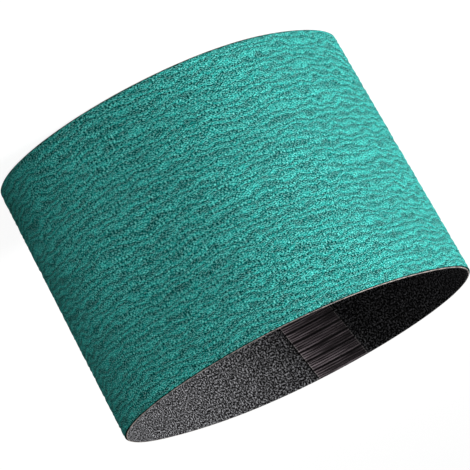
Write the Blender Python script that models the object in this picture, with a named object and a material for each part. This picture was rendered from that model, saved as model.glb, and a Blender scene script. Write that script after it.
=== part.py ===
"""Sanding sleeve: a coated cloth belt joined into a loop, standing on one end.

The belt is laid out flat, as it is cut: a length along the belt, a height across it and a
depth through it. Its two ends are cut on the skew and meet in a butt joint. The flat layout is
then bent round the soft oval that an empty sleeve settles into, and a yarn reinforced tape
bridges the joint on the inside.

Metres, +Z up along the sleeve's axis, the joint on the +Y side, the origin on the floor.
"""

import math

import bmesh
import bpy
import numpy as np

MM = 0.001

# Belt: its width stands up along the axis, its length is measured round the inside
BELT_WIDTH = 88.9 * MM
BELT_LENGTH = 393.7 * MM
CLOTH_THICKNESS = 0.6 * MM
COAT_THICKNESS = 0.5 * MM
GLUE_LINE = 0.06 * MM

# Oval of the empty sleeve: swing of the radius about its mean, direction of the long axis at
# half height, and how far that axis turns from the bottom edge to the top edge
OVAL_SWING = 0.139
OVAL_DIRECTION = math.radians(-63.4)
OVAL_TURN = math.radians(6.5)

# Joint: the ends are cut on the skew and stop just short of each other
JOINT_SKEW = math.radians(10.4)
JOINT_GAP = 0.3 * MM
JOINT_DIRECTION = math.radians(90.0)

# Splice tape: a thin film with bands of fine yarns that run along the belt
TAPE_WIDTH = 18.0 * MM
TAPE_FILM = 0.12 * MM
YARN_PITCH = 0.8 * MM
YARN_HEIGHT = 0.12 * MM
YARNS_IN_BAND = 4
BAND_SPACE = 0.5 * MM

# Facets
BELT_COLUMNS = 120
BELT_ROWS = 6
TAPE_COLUMNS = 6
ARC_STEPS = 1440


def oval_radius(angle, height):
    """Radius of the unit oval, and its rate of change with the angle."""
    turn = OVAL_TURN * (height / BELT_WIDTH - 0.5)
    phase = 2.0 * (angle - OVAL_DIRECTION - turn)
    return 1.0 + OVAL_SWING * np.cos(phase), -2.0 * OVAL_SWING * np.sin(phase)


def arc_lengths(height):
    """Angles once round the oval from the joint, and the arc length of the unit oval to each."""
    angles = JOINT_DIRECTION + np.linspace(0.0, 2.0 * math.pi, ARC_STEPS + 1)
    middles = (angles[1:] + angles[:-1]) / 2.0
    radius, slope = oval_radius(middles, height)
    steps = np.hypot(radius, slope) * (angles[1] - angles[0])
    return angles, np.concatenate([[0.0], np.cumsum(steps)])


def bend(lengths, height, depth):
    """Places points of the flat belt on the loop; depth grows outwards from the cloth's inside."""
    angles, arcs = arc_lengths(height)
    scale = BELT_LENGTH / arcs[-1]
    angle = np.interp(np.mod(lengths, BELT_LENGTH), arcs * scale, angles)
    radius, slope = oval_radius(angle, height)
    along_x = slope * np.cos(angle) - radius * np.sin(angle)
    along_y = slope * np.sin(angle) + radius * np.cos(angle)
    size = np.hypot(along_x, along_y)
    x = scale * radius * np.cos(angle) + depth * along_y / size
    y = scale * radius * np.sin(angle) - depth * along_x / size
    return [(px, py, height) for px, py in zip(x, y)]


def skew(height):
    """Shift of the joint along the belt at a height, none at half height."""
    return (height - BELT_WIDTH / 2.0) * math.tan(JOINT_SKEW)


def belt_stations(height):
    """Columns of the belt from one end to the other, parallel to the joint near it."""
    even = np.linspace(JOINT_GAP / 2.0, BELT_LENGTH - JOINT_GAP / 2.0, BELT_COLUMNS + 1)
    from_joint = np.minimum(even, BELT_LENGTH - even)
    reach = BELT_LENGTH / 2.0
    lean = np.clip(2.0 * (1.0 - from_joint / reach), 0.0, 1.0)
    return even + skew(height) * lean


def tape_stations(height):
    """Columns of the tape, from edge to edge across the joint."""
    half = TAPE_WIDTH / (2.0 * math.cos(JOINT_SKEW))
    return np.linspace(-half, half, TAPE_COLUMNS + 1) + skew(height)


def yarn_profile():
    """Heights and depths up the tape's bare side, and the places of its hollows."""
    band = BAND_SPACE + YARNS_IN_BAND * YARN_PITCH
    bands = max(1, round(BELT_WIDTH / band))
    stretch = BELT_WIDTH / (bands * band)
    hollow = -GLUE_LINE - TAPE_FILM
    crest = hollow - YARN_HEIGHT
    profile = [(0.0, hollow)]
    hollows = [0]
    for number in range(bands):
        base = number * band + BAND_SPACE
        hollows.append(len(profile))
        profile.append((base * stretch, hollow))
        for yarn in range(YARNS_IN_BAND):
            profile.append(((base + (yarn + 0.5) * YARN_PITCH) * stretch, crest))
            hollows.append(len(profile))
            profile.append(((base + (yarn + 1.0) * YARN_PITCH) * stretch, hollow))
    return profile, hollows


def add_grid(mesh, rows):
    """Vertices of a grid, row by row."""
    return [[mesh.verts.new(point) for point in row] for row in rows]


def face_grid(mesh, grid, outwards):
    """Triangles over a grid, all cut along the short diagonal of the leaning columns."""
    for lower, upper in zip(grid, grid[1:]):
        for k in range(len(lower) - 1):
            near, far = (lower[k], lower[k + 1], upper[k]), (upper[k + 1], upper[k], lower[k + 1])
            for corners in (near, far):
                mesh.faces.new(corners if outwards else corners[::-1])


def face_edge(mesh, inside, outside, flip):
    """Quads between two matching runs of vertices."""
    for k in range(len(inside) - 1):
        corners = (inside[k], inside[k + 1], outside[k + 1], outside[k])
        mesh.faces.new(corners[::-1] if flip else corners)


def column(grid, place):
    """One column of a grid, from the bottom up."""
    return [row[place] for row in grid]


def make_layer(depth_in, depth_out):
    """A closed sheet as long as the belt, bent into the loop, with its ends cut on the skew."""
    mesh = bmesh.new()
    heights = np.linspace(0.0, BELT_WIDTH, BELT_ROWS + 1)
    inside = add_grid(mesh, [bend(belt_stations(z), z, depth_in) for z in heights])
    outside = add_grid(mesh, [bend(belt_stations(z), z, depth_out) for z in heights])
    face_grid(mesh, inside, False)
    face_grid(mesh, outside, True)
    face_edge(mesh, inside[0], outside[0], False)
    face_edge(mesh, inside[-1], outside[-1], True)
    face_edge(mesh, column(inside, 0), column(outside, 0), True)
    face_edge(mesh, column(inside, -1), column(outside, -1), False)
    return mesh


def make_tape():
    """The splice tape: flat against the cloth, ridged with yarns on its bare side."""
    mesh = bmesh.new()
    profile, hollows = yarn_profile()
    bare = add_grid(mesh, [bend(tape_stations(z), z, depth) for z, depth in profile])
    seats = [profile[hollow][0] for hollow in hollows]
    stuck = add_grid(mesh, [bend(tape_stations(z), z, -GLUE_LINE) for z in seats])
    face_grid(mesh, bare, False)
    face_grid(mesh, stuck, True)
    face_edge(mesh, bare[0], stuck[0], False)
    face_edge(mesh, bare[-1], stuck[-1], True)
    for place in (0, -1):
        for k in range(len(seats) - 1):
            ridge = column(bare, place)[hollows[k]:hollows[k + 1] + 1]
            corners = ridge + [stuck[k + 1][place], stuck[k][place]]
            mesh.faces.new(corners if place == -1 else corners[::-1])
    return mesh


def finish_material(name, colour, roughness):
    """A plain material in the colour of the finish."""
    material = bpy.data.materials.new(name)
    material.use_nodes = True
    shader = material.node_tree.nodes["Principled BSDF"]
    shader.inputs["Base Color"].default_value = (*colour, 1.0)
    shader.inputs["Roughness"].default_value = roughness
    shader.inputs["Metallic"].default_value = 0.0
    return material


def add_piece(name, mesh, material):
    """A named object from a mesh, shaded smooth except at its cut edges."""
    bmesh.ops.triangulate(mesh, faces=mesh.faces[:])
    data = bpy.data.meshes.new(name)
    mesh.to_mesh(data)
    mesh.free()
    data.materials.append(material)
    data.shade_smooth()
    data.set_sharp_from_angle(angle=math.radians(40.0))
    piece = bpy.data.objects.new(name, data)
    bpy.context.scene.collection.objects.link(piece)
    return piece


def build():
    """Clears the scene and makes the three pieces of the sleeve."""
    for old in list(bpy.data.objects):
        bpy.data.objects.remove(old, do_unlink=True)

    cloth = finish_material("charcoal_cloth", (0.035, 0.035, 0.037), 0.85)
    add_piece("backing_cloth", make_layer(0.0, CLOTH_THICKNESS), cloth)

    coat_start = CLOTH_THICKNESS + GLUE_LINE
    coat = finish_material("teal_abrasive", (0.02, 0.33, 0.28), 0.7)
    add_piece("abrasive_coat", make_layer(coat_start, coat_start + COAT_THICKNESS), coat)

    tape = finish_material("dark_splice_tape", (0.045, 0.036, 0.04), 0.45)
    add_piece("splice_tape", make_tape(), tape)


build()
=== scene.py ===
"""Finish of the sanding sleeve: rippled teal grain outside, pebbled charcoal cloth inside and
the yarn tape over the joint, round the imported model.

Each layer starts as a flat strip, as the belt does before it is joined: along the belt in X,
depth in Y and height in Z. Geometry Nodes give the strip its relief and bend it round the oval.
"""

import math

import bpy
import numpy as np
from bpy.props import FloatProperty, FloatVectorProperty, IntProperty, PointerProperty
from mathutils import Matrix, Vector


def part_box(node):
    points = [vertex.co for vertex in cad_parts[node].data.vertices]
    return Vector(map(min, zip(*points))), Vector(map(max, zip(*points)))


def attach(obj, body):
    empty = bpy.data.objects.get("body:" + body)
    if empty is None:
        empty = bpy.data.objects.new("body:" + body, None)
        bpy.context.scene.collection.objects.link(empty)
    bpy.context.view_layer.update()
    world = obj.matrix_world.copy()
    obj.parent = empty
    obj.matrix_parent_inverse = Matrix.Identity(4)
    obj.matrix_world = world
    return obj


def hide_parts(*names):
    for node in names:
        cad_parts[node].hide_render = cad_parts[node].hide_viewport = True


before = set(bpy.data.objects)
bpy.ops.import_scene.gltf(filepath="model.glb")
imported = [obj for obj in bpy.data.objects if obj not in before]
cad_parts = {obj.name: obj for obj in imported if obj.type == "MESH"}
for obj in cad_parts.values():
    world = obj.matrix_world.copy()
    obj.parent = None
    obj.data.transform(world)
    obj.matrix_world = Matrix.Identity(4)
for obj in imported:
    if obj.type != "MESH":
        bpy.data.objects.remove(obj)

bl_info = {
    "name": "Sanding Sleeve Finish",
    "version": (1, 0, 0),
    "blender": (4, 5, 0),
    "location": "3D View > Sidebar > Sleeve",
    "description": "Makes the coat, cloth, splice tape and stage of a sanding sleeve",
    "category": "Object",
}

MM = 0.001
BELT_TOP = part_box("backing_cloth")[1].z

# The photograph, in its own pixels, and the outline of the sleeve in it
PHOTO_SIZE = 470
SLEEVE_MIDDLE = (234.57, 234.81)
PIXELS_PER_METRE = 3114.0
SENSOR_WIDTH = 36.0

# Facets: round the oval, up the back of a layer, where a face's relief begins, and on the tape
OVAL_POINTS = 1440
ARC_STEPS = 4000
BACK_ROWS = 12
EDGE_ROWS = 3
YARN_ROWS = 8
SPACE_ROWS = 2
TAPE_COLUMNS = 24

# The joint is on the +Y side, and its place along the belt is measured this far to each side
JOINT_DIRECTION = math.pi / 2.0
JOINT_STEP = 0.01

# Depth of the cloth's filled back, and how far each layer's face is cut back at its edges
CLOTH_FACE = 0.03 * MM
COAT_BEVEL = 0.24 * MM
CLOTH_BEVEL = 0.08 * MM
TAPE_BEVEL = 0.03 * MM

# Ripples: their sweeps, each as its size against a ripple's and its share of the wander; how far
# their phase slips, and over how many pitches; how steep one flank is; how faint and how strong
# they are; and the shifts that give each seed, and the fading, a pattern of its own
SWEEPS = ((4.0, 2.6), (1.5, 0.7))
PHASE_SLIP = 1.65
SLIP_BREADTH = 1.3
FLANK = -0.5
FAINT, STRONG = 0.3, 0.46
SEED_STEP = 17.3
FADE_SHIFT = 9.0

# Patterns of the coat, each as how far it is drawn out along the belt and its size across it
GRAIN = (0.35, 0.225 * MM)
STREAK = (0.14, 0.3 * MM)
CLUMP = (0.3, 0.9 * MM)

# How strongly they show, with pairs for trough and crest: the swings of grain, streaks and large
# patches about a mean level, the least level, and the shares of bare grain and of painted glints
GRAIN_SWING = (2.3, 1.7)
STREAK_SWING = 0.8
PATCH_SWING = 0.08
MEAN_LEVEL, LEAST_LEVEL = 0.95, 0.15
BARE_SHARE, GLINT_SHARE = 0.15, 0.37
COAT_ROUGHNESS = (0.95, 0.75)

# Distances from a cut edge, or depths, between which a finish changes: the coat's darker band at
# its cut edges, the bare fibres, the outer half of the cloth, and the cut ends of the yarns
DARK_EDGE_BAND = (0.32 * MM, 0.5 * MM)
FIBRE_EDGE = (0.3 * MM, 0.2 * MM)
FIBRE_DEPTH = (0.28 * MM, 0.34 * MM)
CUT_YARN_START, CUT_YARN_FULL = 0.4 * MM, 0.2 * MM

# Sizes of the other patterns
COAT_PATCH = 11.0 * MM
PEBBLE_SWELL = 1.6 * MM
PEBBLE = 0.6 * MM
CLOTH_PATCH = 6.0 * MM
FRAY = 1.6 * MM
YARN_REACH = 9.0 * MM
YARN_THICKNESS = 0.9 * MM
YARN_STREAK = 0.3 * MM
YARN_TONE = 1.1 * MM
FLOOR_GRAIN = 0.025

# How deep each bump looks
COAT_BUMP = 0.17 * MM
CLOTH_BUMP = 0.12 * MM
TAPE_BUMP = 0.08 * MM

# Shares of the cloth's colour in its hollows and on its pebble tops, painted pale as glints
HOLLOW_SHARE, PEBBLE_GLINT_SHARE = 0.1, 10.5

# Colours without a setting of their own
WHITE = (1.0, 1.0, 1.0)
# Dark of the yarns' streaks, and painted shade in the hollows between the yarns
YARN_STREAK_AND_SHADE = (0.006, 0.004, 0.005)
CUT_YARN = (0.5, 0.46, 0.46)
FLOOR_COLOUR = (0.86, 0.86, 0.86)

# Stage
LAMP_DISTANCE = 1.1
FLOOR_REACH = 6.0
FLOOR_DROP = 0.1 * MM
FLOOR_WHITENESS = 0.78


# Settings


class LoopSettings(bpy.types.PropertyGroup):
    """The belt and the oval that it is bent to."""

    width: FloatProperty(
        name="Belt Width", description="Height of the standing sleeve",
        default=BELT_TOP, unit="LENGTH",
    )
    length: FloatProperty(
        name="Belt Length", description="Length round the inside of the cloth",
        default=393.7 * MM, unit="LENGTH",
    )
    swing: FloatProperty(
        name="Oval Swing", description="Swing of the radius about its mean", default=0.139,
    )
    direction: FloatProperty(
        name="Oval Direction", description="Direction of the long axis at half height",
        default=math.radians(-63.4), unit="ROTATION",
    )
    turn: FloatProperty(
        name="Oval Turn", description="Turn of the oval from the bottom edge to the top edge",
        default=math.radians(6.5), unit="ROTATION",
    )
    skew: FloatProperty(
        name="Joint Skew", description="Slant of the joint from the sleeve's axis",
        default=math.radians(10.4), unit="ROTATION",
    )
    gap: FloatProperty(
        name="Joint Gap", description="Slit between the two ends", default=0.3 * MM,
        unit="LENGTH",
    )


class CoatSettings(bpy.types.PropertyGroup):
    """The teal layer of grain."""

    inside: FloatProperty(
        name="Coat Inside", description="Depth where the coat begins", default=0.66 * MM,
        unit="LENGTH",
    )
    outside: FloatProperty(
        name="Coat Outside", description="Mean depth of the grain's face", default=1.12 * MM,
        unit="LENGTH",
    )
    ripple_height: FloatProperty(
        name="Ripple Height", description="Height of the ripples", default=0.31 * MM,
        unit="LENGTH",
    )
    ripple_pitch: FloatProperty(
        name="Ripple Pitch", description="Distance from ripple to ripple across the belt",
        default=2.4 * MM, unit="LENGTH",
    )
    ripple_length: FloatProperty(
        name="Ripple Length", description="How far a ripple runs along the belt",
        default=5.8 * MM, unit="LENGTH",
    )
    wander: FloatProperty(
        name="Ripple Wander", description="How far the ripples stray to either side",
        default=1.8 * MM, unit="LENGTH",
    )
    bare_edge: FloatProperty(
        name="Bare Edge", description="Strip of cloth left bare where the coat is chipped off",
        default=0.22 * MM, unit="LENGTH",
    )
    # Crest and trough colours carry painted light and shade: lighter crests, darker troughs
    crest: FloatVectorProperty(
        name="Crest Colour", description="Colour of the ripples' crests", subtype="COLOR",
        default=(0.03, 0.475, 0.422),
    )
    trough: FloatVectorProperty(
        name="Trough Colour", description="Colour between the ripples", subtype="COLOR",
        default=(0.004, 0.175, 0.157),
    )
    bare_grain: FloatVectorProperty(
        name="Bare Grain Colour", description="Colour of grain that stands out of the resin",
        subtype="COLOR", default=(0.02, 0.2, 0.185),
    )
    # Painted glints: pale points that stand in for light glinting off the grain
    painted_glint: FloatVectorProperty(
        name="Painted Glint Colour", description="Colour of the grain's pale points painted as glints",
        subtype="COLOR", default=(0.5, 0.72, 0.69),
    )
    columns: IntProperty(name="Columns", description="Facets along the belt", default=330)
    rows: IntProperty(name="Rows", description="Facets across the belt", default=280)
    seed: IntProperty(name="Seed", description="Seed of the ripples", default=7)


class ClothSettings(bpy.types.PropertyGroup):
    """The backing cloth."""

    thickness: FloatProperty(
        name="Cloth Thickness", description="Thickness of the cloth", default=0.6 * MM,
        unit="LENGTH",
    )
    pebble_height: FloatProperty(
        name="Pebble Height", description="Relief of the filled back", default=0.05 * MM,
        unit="LENGTH",
    )
    colour: FloatVectorProperty(
        name="Cloth Colour", description="Colour of the filled back", subtype="COLOR",
        default=(0.04, 0.04, 0.042),
    )
    fibre: FloatVectorProperty(
        name="Fibre Colour", description="Colour of the cut fibres", subtype="COLOR",
        default=(0.54, 0.47, 0.43),
    )
    columns: IntProperty(name="Columns", description="Facets along the belt", default=400)
    rows: IntProperty(name="Rows", description="Facets across the belt", default=150)


class TapeSettings(bpy.types.PropertyGroup):
    """The splice tape and its yarns."""

    width: FloatProperty(
        name="Tape Width", description="Width of the tape", default=18.0 * MM, unit="LENGTH",
    )
    glue: FloatProperty(
        name="Glue Line", description="Glue between tape and cloth", default=0.06 * MM,
        unit="LENGTH",
    )
    film: FloatProperty(
        name="Film", description="Thickness of the film", default=0.12 * MM, unit="LENGTH",
    )
    yarn_height: FloatProperty(
        name="Yarn Height", description="How far a yarn stands up from the film",
        default=0.12 * MM, unit="LENGTH",
    )
    yarn_pitch: FloatProperty(
        name="Yarn Pitch", description="Distance from yarn to yarn", default=0.8 * MM,
        unit="LENGTH",
    )
    band_space: FloatProperty(
        name="Band Space", description="Bare film between bands of yarns", default=0.5 * MM,
        unit="LENGTH",
    )
    band_yarns: IntProperty(name="Band Yarns", description="Yarns in a band", default=4)
    colour: FloatVectorProperty(
        name="Tape Colour", description="Colour of the yarns under the film", subtype="COLOR",
        default=(0.39, 0.325, 0.35),
    )


class StageSettings(bpy.types.PropertyGroup):
    """Camera, lamps and floor."""

    azimuth: FloatProperty(
        name="Camera Azimuth",
        description="Direction to the camera, from the side opposite the joint",
        default=math.radians(-2.6), unit="ROTATION",
    )
    elevation: FloatProperty(
        name="Camera Elevation", description="Height of the camera above the horizon",
        default=math.radians(10.35), unit="ROTATION",
    )
    roll: FloatProperty(
        name="Camera Roll", description="Turn of the picture", default=math.radians(208.58),
        unit="ROTATION",
    )
    distance: FloatProperty(
        name="Camera Distance", description="Distance from camera to sleeve", default=1.769,
        unit="LENGTH",
    )
    key: FloatProperty(
        name="Key Lamp", description="Power of the key lamp in watts", default=17.0,
    )
    fill: FloatProperty(
        name="Fill Lamp", description="Power of the low fill lamp in watts", default=4.0,
    )
    world: FloatProperty(
        name="Surroundings", description="Strength of the world", default=0.1,
    )


GROUPS = {
    "sleeve_loop": LoopSettings,
    "sleeve_coat": CoatSettings,
    "sleeve_cloth": ClothSettings,
    "sleeve_tape": TapeSettings,
    "sleeve_stage": StageSettings,
}


# Node trees

LOOP_LABELS = [
    "Belt Width", "Belt Length", "Oval Swing", "Oval Direction", "Oval Turn", "Joint Place",
    "Joint Drift",
]


class Wiring:
    """Adds nodes to a tree, with inputs given as values or as other nodes' outputs."""

    def __init__(self, tree):
        self.tree = tree

    def add(self, kind, inputs=(), **options):
        """A node of this kind, with its sockets by name or place and its properties by name."""
        node = self.tree.nodes.new(kind)
        for name, value in options.items():
            setattr(node, name, value)
        for key, value in dict(inputs).items():
            socket = node.inputs[key]
            if isinstance(value, bpy.types.NodeSocket):
                self.tree.links.new(value, socket)
            else:
                socket.default_value = value
        return node

    def math(self, operation, first, second=0.0, third=0.0):
        """The output of a Math node."""
        node = self.add("ShaderNodeMath", {0: first, 1: second, 2: third}, operation=operation)
        return node.outputs[0]

    def product(self, first, *others):
        """Values multiplied together."""
        for other in others:
            first = self.math("MULTIPLY", first, other)
        return first

    def about(self, value, swing, middle=0.0):
        """A pattern's swing about its mean of a half, scaled and moved to a middle."""
        return self.math("MULTIPLY_ADD", self.math("SUBTRACT", value, 0.5), swing, middle)

    def vector(self, operation, first, second=(0.0, 0.0, 0.0), scale=1.0):
        """The output of a Vector Math node."""
        inputs = {0: first, "Scale": scale} if operation == "SCALE" else {0: first, 1: second}
        return self.add("ShaderNodeVectorMath", inputs, operation=operation).outputs[0]

    def combine(self, x=0.0, y=0.0, z=0.0):
        """A vector from its three parts."""
        return self.add("ShaderNodeCombineXYZ", {0: x, 1: y, 2: z}).outputs[0]

    def parts(self, vector):
        """The three parts of a vector."""
        return self.add("ShaderNodeSeparateXYZ", {0: vector}).outputs

    def span(self, value, low, high, to_low=0.0, to_high=1.0):
        """A value moved from one range to another, and kept inside it."""
        inputs = {
            "Value": value, "From Min": low, "From Max": high, "To Min": to_low, "To Max": to_high,
        }
        return self.add("ShaderNodeMapRange", inputs).outputs["Result"]

    def noise(self, vector, size=1.0, detail=2.0, roughness=0.5):
        """A cloudy pattern whose clouds have a size."""
        inputs = {
            "Vector": vector, "Scale": 1.0 / size, "Detail": detail, "Roughness": roughness,
        }
        return self.add("ShaderNodeTexNoise", inputs).outputs[0]

    def blend(self, factor, first, second):
        """Two colours mixed."""
        node = self.add("ShaderNodeMix", data_type="RGBA")
        for place, value in ((0, factor), (6, first), (7, second)):
            if isinstance(value, bpy.types.NodeSocket):
                self.tree.links.new(value, node.inputs[place])
            else:
                node.inputs[place].default_value = value
        return node.outputs[2]

    def stored(self, name):
        """A number that the node trees have stored on each point, for a material."""
        return self.add("ShaderNodeAttribute", attribute_name=name).outputs["Fac"]

    def lead(self, value, node, name):
        """Leads an output to one of a node's inputs."""
        self.tree.links.new(value, node.inputs[name])

    def bump(self, shader, height, depth, strength=1.0):
        """Gives a shader a bump of a depth from a height."""
        inputs = {"Strength": strength, "Distance": depth, "Height": height}
        self.lead(self.add("ShaderNodeBump", inputs).outputs[0], shader, "Normal")


def new_geometry_tree(name, floats):
    """A Geometry Nodes tree with a geometry in and out and named number inputs."""
    tree = bpy.data.node_groups.new(name, "GeometryNodeTree")
    tree.interface.new_socket("Geometry", in_out="INPUT", socket_type="NodeSocketGeometry")
    tree.interface.new_socket("Geometry", in_out="OUTPUT", socket_type="NodeSocketGeometry")
    for label in floats:
        kind = "NodeSocketInt" if label == "Seed" else "NodeSocketFloat"
        tree.interface.new_socket(label, in_out="INPUT", socket_type=kind)
    wires = Wiring(tree)
    start = wires.add("NodeGroupInput").outputs
    return tree, wires, start


def close_tree(wires, geometry):
    """Leads a geometry to the tree's output."""
    wires.add("NodeGroupOutput", {"Geometry": geometry})


def loop_tree():
    """Bends a flat strip round the oval: X runs along the belt, Y is depth and Z height."""
    made = bpy.data.node_groups.get("bend_round_loop")
    if made:
        return made
    tree, wires, start = new_geometry_tree("bend_round_loop", LOOP_LABELS)

    # The oval at half height, as a closed curve
    circle = {"Resolution": OVAL_POINTS, "Radius": 1.0}
    ring = wires.add("GeometryNodeCurvePrimitiveCircle", circle)
    at = wires.add("GeometryNodeInputPosition").outputs[0]
    across = wires.parts(at)
    angle = wires.math("ARCTAN2", across[1], across[0])
    phase = wires.product(wires.math("SUBTRACT", angle, start["Oval Direction"]), 2.0)
    swing = wires.product(wires.math("COSINE", phase), start["Oval Swing"])
    radius = wires.math("ADD", swing, 1.0)
    oval = wires.add(
        "GeometryNodeSetPosition",
        {"Geometry": ring.outputs[0], "Position": wires.vector("SCALE", at, scale=radius)},
    )
    around = wires.add("GeometryNodeCurveLength", {0: oval.outputs[0]}).outputs[0]
    scale = wires.math("DIVIDE", start["Belt Length"], around)

    # Where each point of the strip falls on it
    flat = wires.parts(wires.add("GeometryNodeInputPosition").outputs[0])
    level = wires.math("SUBTRACT", wires.math("DIVIDE", flat[2], start["Belt Width"]), 0.5)
    turn = wires.product(level, start["Oval Turn"])
    along = wires.math("DIVIDE", flat[0], start["Belt Length"])
    joint = wires.math("MULTIPLY_ADD", turn, start["Joint Drift"], start["Joint Place"])
    factor = wires.math("FLOORED_MODULO", wires.math("ADD", along, joint), 1.0)
    sample = wires.add(
        "GeometryNodeSampleCurve", {"Curves": oval.outputs[0], "Factor": factor}, mode="FACTOR"
    )
    place = wires.vector("SCALE", sample.outputs["Position"], scale=scale)
    course = wires.parts(wires.vector("NORMALIZE", sample.outputs["Tangent"]))
    outward = wires.combine(course[1], wires.product(course[0], -1.0), 0.0)
    place = wires.vector("ADD", place, wires.vector("SCALE", outward, scale=flat[1]))
    place = wires.vector("ADD", place, wires.combine(0.0, 0.0, flat[2]))
    turned = wires.add(
        "ShaderNodeVectorRotate", {"Vector": place, "Angle": turn}, rotation_type="Z_AXIS"
    )
    bent = wires.add(
        "GeometryNodeSetPosition",
        {"Geometry": start["Geometry"], "Position": turned.outputs[0]},
    )
    close_tree(wires, bent.outputs[0])
    return tree


def keep_flat(wires, geometry):
    """Stores each point's place on the flat strip, for the materials."""
    at = wires.add("GeometryNodeInputPosition").outputs[0]
    inputs = {"Geometry": geometry, "Name": "flat", "Value": at}
    store = wires.add(
        "GeometryNodeStoreNamedAttribute", inputs, data_type="FLOAT_VECTOR", domain="POINT"
    )
    return store.outputs[0]


def keep_number(wires, geometry, name, value):
    """Stores a number on each point, for the materials."""
    store = wires.add(
        "GeometryNodeStoreNamedAttribute",
        {"Geometry": geometry, "Name": name, "Value": value},
        data_type="FLOAT", domain="POINT",
    )
    return store.outputs[0]


def weight(wires):
    """How much of the relief a point takes: all on the face, none at the edges."""
    node = wires.add("GeometryNodeInputNamedAttribute", {"Name": "relief"}, data_type="FLOAT")
    return node.outputs[0]


def raise_face(wires, geometry, height):
    """Moves the face of the strip in depth by a height times its share of the relief."""
    offset = wires.combine(0.0, wires.product(height, weight(wires)), 0.0)
    return wires.add(
        "GeometryNodeSetPosition", {"Geometry": geometry, "Offset": offset}
    ).outputs[0]


def end_tree(wires, start, geometry, material):
    """Bends the strip, makes it real and gives it its material."""
    inputs = {label: start[label] for label in LOOP_LABELS}
    bend = wires.add("GeometryNodeGroup", node_tree=loop_tree())
    for label, source in {"Geometry": geometry, **inputs}.items():
        wires.tree.links.new(source, bend.inputs[label])
    smooth = wires.add("GeometryNodeSetShadeSmooth", {"Geometry": bend.outputs[0]})
    real = wires.add("GeometryNodeRealizeInstances", {0: smooth.outputs[0]})
    inputs = {"Geometry": real.outputs[0], "Material": material}
    close_tree(wires, wires.add("GeometryNodeSetMaterial", inputs).outputs[0])


def stretched(wires, along, across, shift, length, width):
    """A place in a pattern that is drawn out along the belt."""
    return wires.combine(
        wires.math("DIVIDE", along, length), wires.math("DIVIDE", across, width), shift
    )


def coat_tree(material):
    """Ripples that wander and part along the belt, in the face of the coat."""
    labels = LOOP_LABELS + ["Ripple Height", "Ripple Pitch", "Ripple Length", "Wander", "Seed"]
    tree, wires, start = new_geometry_tree("rippled_coat", labels)
    geometry = keep_flat(wires, start["Geometry"])
    flat = wires.parts(wires.add("GeometryNodeInputPosition").outputs[0])
    shift = wires.product(start["Seed"], SEED_STEP)
    length, pitch = start["Ripple Length"], start["Ripple Pitch"]

    # The run of the ripples bends by a slow sweep and a quicker one
    height = flat[2]
    for size, share in SWEEPS:
        reach = wires.product(length, size)
        breadth = wires.product(pitch, 2.0 + 2.0 * size)
        moved = wires.math("ADD", shift, size)
        place = stretched(wires, flat[0], flat[2], moved, reach, breadth)
        way = wires.product(start["Wander"], share)
        height = wires.about(wires.noise(place, detail=0.0), way, height)

    # Crests at the pitch, steeper on one flank, that part and join where their phase slips
    breadth = wires.product(pitch, SLIP_BREADTH)
    slip = wires.noise(stretched(wires, flat[0], height, shift, length, breadth), detail=0.0)
    phase = wires.math("MULTIPLY_ADD", slip, PHASE_SLIP, wires.math("DIVIDE", height, pitch))
    phase = wires.product(phase, 2.0 * math.pi)
    leaning = wires.math("MULTIPLY_ADD", wires.math("SINE", phase), FLANK, phase)
    wave = wires.math("SINE", leaning)

    # They fade here and there
    moved = wires.math("ADD", shift, FADE_SHIFT)
    fade = wires.noise(stretched(wires, flat[0], height, moved, length, pitch), detail=0.0)
    strength = wires.span(fade, 0.35, 0.6, FAINT, STRONG)
    ripple = wires.math("MULTIPLY_ADD", wave, strength, 0.5)

    geometry = keep_number(wires, geometry, "ripple", ripple)
    geometry = keep_number(wires, geometry, "stray", wires.math("SUBTRACT", height, flat[2]))
    geometry = raise_face(wires, geometry, wires.about(ripple, start["Ripple Height"]))
    end_tree(wires, start, geometry, material)
    return tree


def cloth_tree(material):
    """Small pebbles in the filled back of the cloth."""
    tree, wires, start = new_geometry_tree("pebbled_cloth", LOOP_LABELS + ["Pebble Height"])
    geometry = keep_flat(wires, start["Geometry"])
    flat = wires.parts(wires.add("GeometryNodeInputPosition").outputs[0])
    spot = wires.combine(flat[0], flat[2], 0.0)
    pebble = wires.noise(spot, size=PEBBLE_SWELL, detail=1.0)
    geometry = raise_face(wires, geometry, wires.about(pebble, start["Pebble Height"]))
    end_tree(wires, start, geometry, material)
    return tree


def tape_tree(material):
    """Bands of round yarns that run along the belt, under the film."""
    labels = LOOP_LABELS + ["Yarn Height", "Yarn Pitch", "Band Pitch", "Band Space"]
    tree, wires, start = new_geometry_tree("yarn_tape", labels)
    geometry = keep_flat(wires, start["Geometry"])
    flat = wires.parts(wires.add("GeometryNodeInputPosition").outputs[0])
    in_band = wires.math("FLOORED_MODULO", flat[2], start["Band Pitch"])
    past = wires.math("SUBTRACT", in_band, start["Band Space"])
    turns = wires.math("DIVIDE", wires.math("MAXIMUM", past, 0.0), start["Yarn Pitch"])
    crown = wires.math("ABSOLUTE", wires.math("SINE", wires.product(turns, math.pi)))
    crown = wires.math("POWER", crown, 0.7)
    geometry = keep_number(wires, geometry, "crown", crown)
    along = wires.math("DIVIDE", flat[0], YARN_REACH)
    across = wires.math("DIVIDE", flat[2], YARN_THICKNESS)
    share = wires.span(wires.noise(wires.combine(along, 0.0, across)), 0.3, 0.7, 0.7, 1.0)
    lift = wires.product(crown, share, start["Yarn Height"], -1.0)
    geometry = raise_face(wires, geometry, lift)
    end_tree(wires, start, geometry, material)
    return tree


# Flat strips


def skew_shift(loop, height):
    """Shift of the joint along the belt at a height, none at half height."""
    return (height - loop.width / 2.0) * math.tan(loop.skew)


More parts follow.
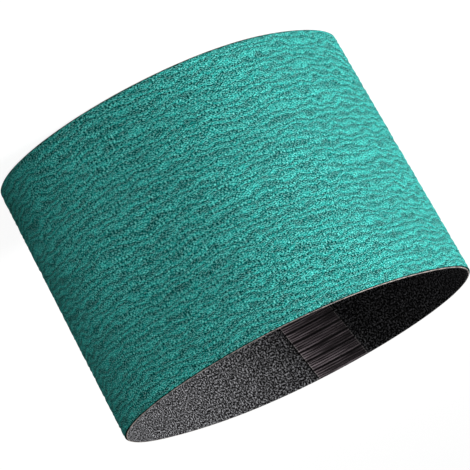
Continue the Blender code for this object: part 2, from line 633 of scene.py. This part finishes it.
def belt_places(loop, columns):
    """Places along the belt and how much each column leans with the joint."""
    even = np.linspace(loop.gap / 2.0, loop.length - loop.gap / 2.0, columns + 1)
    from_joint = np.minimum(even, loop.length - even)
    lean = np.clip(2.0 * (1.0 - from_joint / (loop.length / 2.0)), 0.0, 1.0)
    return even, lean


def flat_strip(name, loop, places, leans, profile, relief):
    """A closed strip: a closed profile of (depth, height) points carried along the belt.

    The profile runs clockwise seen along the belt, and relief is each point's share of it.
    """
    count, around = len(places), len(profile)
    depths = np.array([depth for depth, _ in profile])
    heights = np.array([height for _, height in profile])
    shift = skew_shift(loop, heights)
    corners = np.empty((count, around, 3))
    corners[:, :, 0] = places[:, None] + shift[None, :] * leans[:, None]
    corners[:, :, 1] = depths
    corners[:, :, 2] = heights
    column = np.arange(count - 1)[:, None] * around
    first = column + np.arange(around)[None, :]
    following = column + (np.arange(around)[None, :] + 1) % around
    quads = np.stack([first, first + around, following + around, following], axis=2)
    faces = quads.reshape(-1, 4).tolist()
    faces.append(list(range(around)))
    faces.append([(count - 1) * around + k for k in reversed(range(around))])
    mesh = bpy.data.meshes.new(name)
    mesh.from_pydata(corners.reshape(-1, 3).tolist(), [], faces)
    share = mesh.attributes.new("relief", "FLOAT", "POINT")
    share.data.foreach_set("value", np.tile(np.array(relief, np.float32), count))
    strip = bpy.data.objects.new(name, mesh)
    bpy.context.scene.collection.objects.link(strip)
    return strip


def unit_arc(loop, angle):
    """Arc of the unit oval from its start on +X to an angle, as a share of the whole."""
    def arc(limit):
        middles = (np.arange(ARC_STEPS) + 0.5) / ARC_STEPS * limit
        phase = 2.0 * (middles - loop.direction)
        radius = 1.0 + loop.swing * np.cos(phase)
        slope = -2.0 * loop.swing * np.sin(phase)
        return np.hypot(radius, slope).mean() * limit
    return arc(angle) / arc(2.0 * math.pi)


def finish_strip(strip, tree, loop, values):
    """Runs the tree on the strip and keeps the result as its plain mesh."""
    joint, step = JOINT_DIRECTION, JOINT_STEP
    drift = (unit_arc(loop, joint - step) - unit_arc(loop, joint + step)) / (2.0 * step)
    settings = {
        "Belt Width": loop.width, "Belt Length": loop.length, "Oval Swing": loop.swing,
        "Oval Direction": loop.direction, "Oval Turn": loop.turn,
        "Joint Place": unit_arc(loop, joint), "Joint Drift": drift, **values,
    }
    modifier = strip.modifiers.new("make", "NODES")
    modifier.node_group = tree
    for item in tree.interface.items_tree:
        if item.in_out == "INPUT" and item.name in settings:
            modifier[item.identifier] = settings[item.name]
    graph = bpy.context.evaluated_depsgraph_get()
    made = bpy.data.meshes.new_from_object(strip.evaluated_get(graph), depsgraph=graph)
    strip.modifiers.clear()
    made.name = strip.name
    strip.data = made
    made.set_sharp_from_angle(angle=math.radians(50.0))
    return strip


def layer_profile(near, far, loop, rows, face_inward, edge):
    """Profile of a belt layer: fine rows on its face, few on its back, softened at its edges.

    near and far are the depths of the back and the face, edge is (inset, drop) of the bevel.
    The back has rows too, because the belt leans with its joint and the oval turns on its way up.
    """
    inset, drop = edge
    towards = -1.0 if face_inward else 1.0
    face = [(far, z) for z in np.linspace(inset + drop, loop.width - inset - drop, rows + 1)]
    relief = [1.0] * len(face)
    for k in range(EDGE_ROWS):
        relief[k] = relief[-1 - k] = k / EDGE_ROWS
    low = (far - towards * drop, inset)
    high = (far - towards * drop, loop.width - inset)
    back = [(near, z) for z in np.linspace(loop.width - inset, inset, BACK_ROWS + 1)]
    profile = [low] + face + [high] + back
    relief = [0.0] + relief + [0.0] * (len(back) + 1)
    if not face_inward:
        profile.reverse()
        relief.reverse()
    return profile, relief


# Materials


def new_material(name):
    """An empty material, its wiring, its place on the flat strip and its shader."""
    material = bpy.data.materials.new(name)
    material.use_nodes = True
    material.node_tree.nodes.clear()
    wires = Wiring(material.node_tree)
    flat = wires.add("ShaderNodeAttribute", attribute_name="flat").outputs["Vector"]
    shader = wires.add("ShaderNodeBsdfPrincipled")
    wires.add("ShaderNodeOutputMaterial", {"Surface": shader.outputs[0]})
    return material, wires, flat, shader


def opaque(colour):
    """A colour with full alpha."""
    return (*colour, 1.0)


def tape_half(tape, loop):
    """Half the tape's width, measured along the belt across the slanting joint."""
    return tape.width / (2.0 * math.cos(loop.skew))


def edge_distance(wires, flat, width):
    """Distance from a point to the nearer cut edge of the belt."""
    height = wires.parts(flat)[2]
    return wires.math("MINIMUM", height, wires.math("SUBTRACT", width, height))


def coat_material(coat, loop):
    """Teal grain with painted light on its crests and painted shade in its speckled troughs."""
    material, wires, flat, shader = new_material("teal_grain")
    along, depth, height = wires.parts(flat)
    run = wires.math("ADD", height, wires.stored("stray"))

    def pattern(drawn_out, size):
        place = wires.combine(wires.product(along, drawn_out), depth, run)
        return wires.noise(place, size=size, detail=0.0)

    grain = wires.span(pattern(*GRAIN), 0.32, 0.68)
    streak, clump = pattern(*STREAK), pattern(*CLUMP)
    patch = wires.noise(flat, size=COAT_PATCH, detail=1.0)

    # Teal by height as painted light and shade, with some bare grain in the troughs
    crest = wires.span(wires.stored("ripple"), 0.1, 0.9)
    colour = wires.blend(crest, opaque(coat.trough), opaque(coat.crest))
    clump = wires.span(clump, 0.46, 0.62)
    bare = wires.product(clump, wires.span(crest, 0.7, 0.3), BARE_SHARE)
    colour = wires.blend(bare, colour, opaque(coat.bare_grain))

    # Light and dark grain, strongest in the troughs, and darker towards the cut edges
    level = wires.about(streak, STREAK_SWING, wires.about(patch, PATCH_SWING, MEAN_LEVEL))
    level = wires.about(grain, wires.span(crest, 0.0, 1.0, *GRAIN_SWING), level)
    level = wires.math("MAXIMUM", level, LEAST_LEVEL)
    distance = edge_distance(wires, flat, loop.width)
    edge = wires.span(distance, *DARK_EDGE_BAND, 0.08, 1.0)
    colour = wires.vector("SCALE", colour, scale=wires.product(level, edge))

    # Painted glints: pale points where the grain stands highest, as light glinting off it
    point = wires.product(wires.span(grain, 0.6, 1.0, 0.0, GLINT_SHARE), edge)
    colour = wires.blend(point, colour, opaque(coat.painted_glint))
    wires.lead(colour, shader, "Base Color")

    wires.lead(wires.span(crest, 0.0, 1.0, *COAT_ROUGHNESS), shader, "Roughness")
    shader.inputs["Specular IOR Level"].default_value = 0.0
    relief = wires.math("MULTIPLY_ADD", streak, 3.0, wires.product(grain, 0.7))
    wires.bump(shader, relief, COAT_BUMP)
    return material


def cloth_material(cloth, loop):
    """Charcoal filled cloth with pebble tops painted pale as glints, and pale fibres at its cut
    edges.
    """
    material, wires, flat, shader = new_material("charcoal_cloth")
    pebble = wires.noise(flat, size=PEBBLE, detail=1.0)
    knob = wires.math("POWER", wires.span(pebble, 0.38, 0.66), 2.3)
    patch = wires.noise(flat, size=CLOTH_PATCH)
    tone = wires.product(knob, wires.span(patch, 0.25, 0.75, 0.75, 1.2))
    # Pebble tops painted pale, as glints of light, over darker hollows
    hollow, top = [
        opaque([share * value for value in cloth.colour])
        for share in (HOLLOW_SHARE, PEBBLE_GLINT_SHARE)
    ]
    colour = wires.blend(tone, hollow, top)

    # Bare fibres on the outer half of the cut edge, where the coat is chipped off
    near_edge = wires.span(edge_distance(wires, flat, loop.width), *FIBRE_EDGE)
    outer = wires.span(wires.parts(flat)[1], *FIBRE_DEPTH)
    fray = wires.span(wires.noise(flat, size=FRAY), 0.36, 0.6, 0.25, 1.0)
    colour = wires.blend(wires.product(near_edge, outer, fray), colour, opaque(cloth.fibre))
    wires.lead(colour, shader, "Base Color")

    wires.lead(wires.span(knob, 0.0, 1.0, 0.8, 0.55), shader, "Roughness")
    shader.inputs["Specular IOR Level"].default_value = 0.0
    shader.inputs["Sheen Weight"].default_value = 0.03
    shader.inputs["Sheen Roughness"].default_value = 0.4
    wires.bump(shader, knob, CLOTH_BUMP)
    return material


def tape_material(tape, loop):
    """Dark plum film over glossy yarns, pale where the yarns were cut."""
    material, wires, flat, shader = new_material("dark_splice_tape")
    along, _, height = wires.parts(flat)
    crown = wires.stored("crown")

    # Yarns under the film, each streaky and of its own tone, with painted shade between them
    place = wires.combine(wires.product(along, 0.03), 0.0, height)
    streak = wires.noise(place, size=YARN_STREAK, detail=1.0, roughness=0.7)
    tone = wires.noise(place, size=YARN_TONE, detail=1.0)
    tone = wires.product(
        wires.span(crown, 0.4, 1.0), wires.span(streak, 0.37, 0.63, 0.08, 1.4),
        wires.span(tone, 0.32, 0.68, 0.3, 1.35),
    )
    colour = wires.blend(tone, opaque(YARN_STREAK_AND_SHADE), opaque(tape.colour))

    # Their cut ends along both sides of the tape
    half = tape_half(tape, loop)
    middle = wires.math("SUBTRACT", height, loop.width / 2.0)
    middle = wires.product(middle, math.tan(loop.skew))
    side = wires.math("ABSOLUTE", wires.math("SUBTRACT", along, middle))
    cut = wires.span(side, half - CUT_YARN_START, half - CUT_YARN_FULL)
    cut = wires.product(cut, crown, 0.8)
    wires.lead(wires.blend(cut, colour, opaque(CUT_YARN)), shader, "Base Color")

    shader.inputs["Roughness"].default_value = 0.34
    shader.inputs["Specular IOR Level"].default_value = 0.12
    wires.bump(shader, streak, TAPE_BUMP, 0.6)
    return material


def seen_directly(wires):
    """1 for rays from the camera, and for what gloss and glass show of the surroundings."""
    path = wires.add("ShaderNodeLightPath").outputs
    seen = wires.math("MAXIMUM", path["Is Camera Ray"], path["Is Glossy Ray"])
    return wires.math("MAXIMUM", seen, path["Is Transmission Ray"])


def lit_surface(name, colour, share):
    """A pale surface that the camera sees nearly white, but that keeps the shadow on it."""
    material = bpy.data.materials.new(name)
    material.use_nodes = True
    material.node_tree.nodes.clear()
    wires = Wiring(material.node_tree)
    grain = wires.noise(wires.add("ShaderNodeTexCoord").outputs["Object"], size=FLOOR_GRAIN)
    tint = wires.blend(grain, opaque(colour), opaque([0.98 * value for value in colour]))
    matt = wires.add("ShaderNodeBsdfDiffuse", {"Color": tint})
    glow = wires.add("ShaderNodeEmission", {"Color": opaque(WHITE), "Strength": 1.2})
    seen = wires.product(seen_directly(wires), share)
    mix = wires.add("ShaderNodeMixShader", {0: seen, 1: matt.outputs[0], 2: glow.outputs[0]})
    wires.add("ShaderNodeOutputMaterial", {"Surface": mix.outputs[0]})
    return material


# Operators


class SLEEVE_OT_stage(bpy.types.Operator):
    """Make the camera, the lamps, the floor and the white surroundings"""

    bl_idname = "sleeve.stage"
    bl_label = "Stage"

    def execute(self, context):
        scene = context.scene
        stage, loop = scene.sleeve_stage, scene.sleeve_loop
        scene.view_settings.view_transform = "Standard"
        self.camera(scene, stage, loop)
        self.lamps(scene, stage, loop)
        self.floor(scene)
        return {"FINISHED"}

    def camera(self, scene, stage, loop):
        """The photograph's viewpoint: a long lens, a little above, with the picture turned."""
        azimuth, elevation = stage.azimuth, stage.elevation
        back = Vector((
            math.sin(azimuth) * math.cos(elevation),
            -math.cos(azimuth) * math.cos(elevation),
            math.sin(elevation),
        ))
        right = Vector((math.cos(azimuth), math.sin(azimuth), 0.0))
        upward = back.cross(right)
        cos, sin = math.cos(stage.roll), math.sin(stage.roll)
        across = cos * right - sin * upward
        up = sin * right + cos * upward
        aside = (PHOTO_SIZE / 2.0 - SLEEVE_MIDDLE[0]) / PIXELS_PER_METRE
        above = (SLEEVE_MIDDLE[1] - PHOTO_SIZE / 2.0) / PIXELS_PER_METRE
        place = Vector((0.0, 0.0, loop.width / 2.0)) + back * stage.distance
        place += across * aside + up * above
        data = bpy.data.cameras.new("photo_camera")
        data.sensor_width = SENSOR_WIDTH
        data.lens = PIXELS_PER_METRE * stage.distance / PHOTO_SIZE * SENSOR_WIDTH
        data.clip_start, data.clip_end = 0.05, 50.0
        camera = bpy.data.objects.new("photo_camera", data)
        scene.collection.objects.link(camera)
        turn = Matrix((across, up, back)).transposed()
        camera.matrix_world = Matrix.Translation(place) @ turn.to_4x4()
        scene.camera = camera

    def lamps(self, scene, stage, loop):
        """A large soft key at the side of the standing sleeve, a low fill and a dim world."""
        aim = Vector((0.0, 0.0, loop.width * 0.5))

        # Name, direction from +X and from the horizon in degrees, size across and up, power
        plans = (
            ("key_lamp", -178.5, 28.0, 0.65, 0.65, stage.key),
            ("fill_lamp", -82.0, 0.5, 1.3, 0.1, stage.fill),
        )
        for name, azimuth, elevation, width, height, power in plans:
            azimuth, elevation = math.radians(azimuth), math.radians(elevation)
            data = bpy.data.lights.new(name, "AREA")
            data.shape, data.energy = "ELLIPSE", power
            data.size, data.size_y = width, height
            lamp = bpy.data.objects.new(name, data)
            way = Vector((
                math.cos(azimuth) * math.cos(elevation),
                math.sin(azimuth) * math.cos(elevation),
                math.sin(elevation),
            ))
            lamp.location = aim + way * LAMP_DISTANCE
            lamp.rotation_euler = way.to_track_quat("Z", "Y").to_euler()
            scene.collection.objects.link(lamp)
        world = scene.world or bpy.data.worlds.new("surroundings")
        scene.world = world
        world.use_nodes = True
        world.node_tree.nodes.clear()
        wires = Wiring(world.node_tree)
        strength = wires.span(seen_directly(wires), 0.0, 1.0, stage.world, 1.0)
        inputs = {"Color": opaque(WHITE), "Strength": strength}
        background = wires.add("ShaderNodeBackground", inputs)
        wires.add("ShaderNodeOutputWorld", {"Surface": background.outputs[0]})

    def floor(self, scene):
        """A wide pale floor just under the sleeve."""
        signs = ((-1.0, -1.0), (1.0, -1.0), (1.0, 1.0), (-1.0, 1.0))
        corners = [(x * FLOOR_REACH, y * FLOOR_REACH, -FLOOR_DROP) for x, y in signs]
        mesh = bpy.data.meshes.new("floor")
        mesh.from_pydata(corners, [], [(0, 1, 2, 3)])
        floor = bpy.data.objects.new("floor", mesh)
        mesh.materials.append(lit_surface("pale_floor", FLOOR_COLOUR, FLOOR_WHITENESS))
        scene.collection.objects.link(floor)


class SLEEVE_OT_coat(bpy.types.Operator):
    """Make the teal coat with its ripples"""

    bl_idname = "sleeve.coat"
    bl_label = "Abrasive Coat"

    def execute(self, context):
        loop, coat = context.scene.sleeve_loop, context.scene.sleeve_coat
        edge = (coat.bare_edge, COAT_BEVEL)
        profile, relief = layer_profile(
            coat.inside, coat.outside, loop, coat.rows, False, edge
        )
        places, leans = belt_places(loop, coat.columns)
        strip = flat_strip("teal_coat", loop, places, leans, profile, relief)
        values = {
            "Ripple Height": coat.ripple_height, "Ripple Pitch": coat.ripple_pitch,
            "Ripple Length": coat.ripple_length, "Wander": coat.wander, "Seed": coat.seed,
        }
        piece = finish_strip(strip, coat_tree(coat_material(coat, loop)), loop, values)
        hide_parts("abrasive_coat")
        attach(piece, "root")
        return {"FINISHED"}


class SLEEVE_OT_cloth(bpy.types.Operator):
    """Make the charcoal backing cloth"""

    bl_idname = "sleeve.cloth"
    bl_label = "Backing Cloth"

    def execute(self, context):
        loop, cloth = context.scene.sleeve_loop, context.scene.sleeve_cloth
        profile, relief = layer_profile(
            cloth.thickness, CLOTH_FACE, loop, cloth.rows, True, (0.0, CLOTH_BEVEL)
        )
        places, leans = belt_places(loop, cloth.columns)
        strip = flat_strip("charcoal_back", loop, places, leans, profile, relief)
        values = {"Pebble Height": cloth.pebble_height}
        piece = finish_strip(strip, cloth_tree(cloth_material(cloth, loop)), loop, values)
        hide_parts("backing_cloth")
        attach(piece, "root")
        return {"FINISHED"}


class SLEEVE_OT_tape(bpy.types.Operator):
    """Make the splice tape with its bands of yarns"""

    bl_idname = "sleeve.tape"
    bl_label = "Splice Tape"

    def execute(self, context):
        loop, tape = context.scene.sleeve_loop, context.scene.sleeve_tape
        band = tape.band_space + tape.band_yarns * tape.yarn_pitch
        bands = max(1, round(loop.width / band))
        stretch = loop.width / (bands * band)
        rows = bands * (tape.band_yarns * YARN_ROWS + SPACE_ROWS)
        profile, relief = layer_profile(
            -tape.glue, -tape.glue - tape.film, loop, rows, True, (0.0, TAPE_BEVEL)
        )
        half = tape_half(tape, loop)
        places = np.linspace(-half, half, TAPE_COLUMNS + 1)
        leans = np.ones(TAPE_COLUMNS + 1)
        strip = flat_strip("yarn_tape", loop, places, leans, profile, relief)
        values = {
            "Yarn Height": tape.yarn_height, "Yarn Pitch": tape.yarn_pitch * stretch,
            "Band Pitch": band * stretch, "Band Space": tape.band_space * stretch,
        }
        piece = finish_strip(strip, tape_tree(tape_material(tape, loop)), loop, values)
        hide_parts("splice_tape")
        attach(piece, "root")
        return {"FINISHED"}


class SLEEVE_PT_sidebar(bpy.types.Panel):
    """The sleeve's sizes, colours and pieces"""

    bl_idname = "SLEEVE_PT_sidebar"
    bl_label = "Sanding Sleeve"
    bl_space_type = "VIEW_3D"
    bl_region_type = "UI"
    bl_category = "Sleeve"

    def draw(self, context):
        for name, group in GROUPS.items():
            box = self.layout.box()
            for field in group.__annotations__:
                box.prop(getattr(context.scene, name), field)
        for operator in OPERATORS:
            self.layout.operator(operator.bl_idname)


OPERATORS = (SLEEVE_OT_stage, SLEEVE_OT_cloth, SLEEVE_OT_coat, SLEEVE_OT_tape)


def register():
    """Registers the settings, the operators and the panel."""
    for name, group in GROUPS.items():
        bpy.utils.register_class(group)
        setattr(bpy.types.Scene, name, PointerProperty(type=group))
    for item in (*OPERATORS, SLEEVE_PT_sidebar):
        bpy.utils.register_class(item)


def unregister():
    """Takes them away again."""
    for item in (SLEEVE_PT_sidebar, *reversed(OPERATORS)):
        bpy.utils.unregister_class(item)
    for name, group in reversed(GROUPS.items()):
        delattr(bpy.types.Scene, name)
        bpy.utils.unregister_class(group)


def corners(box):
    """A box as plain lists of numbers."""
    return [list(corner) for corner in box]


def main():
    """Makes the stage and the pieces."""
    register()
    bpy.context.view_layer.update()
    bpy.ops.sleeve.stage()
    bpy.ops.sleeve.cloth()
    bpy.ops.sleeve.coat()
    bpy.ops.sleeve.tape()


if __name__ == "__main__":
    main()
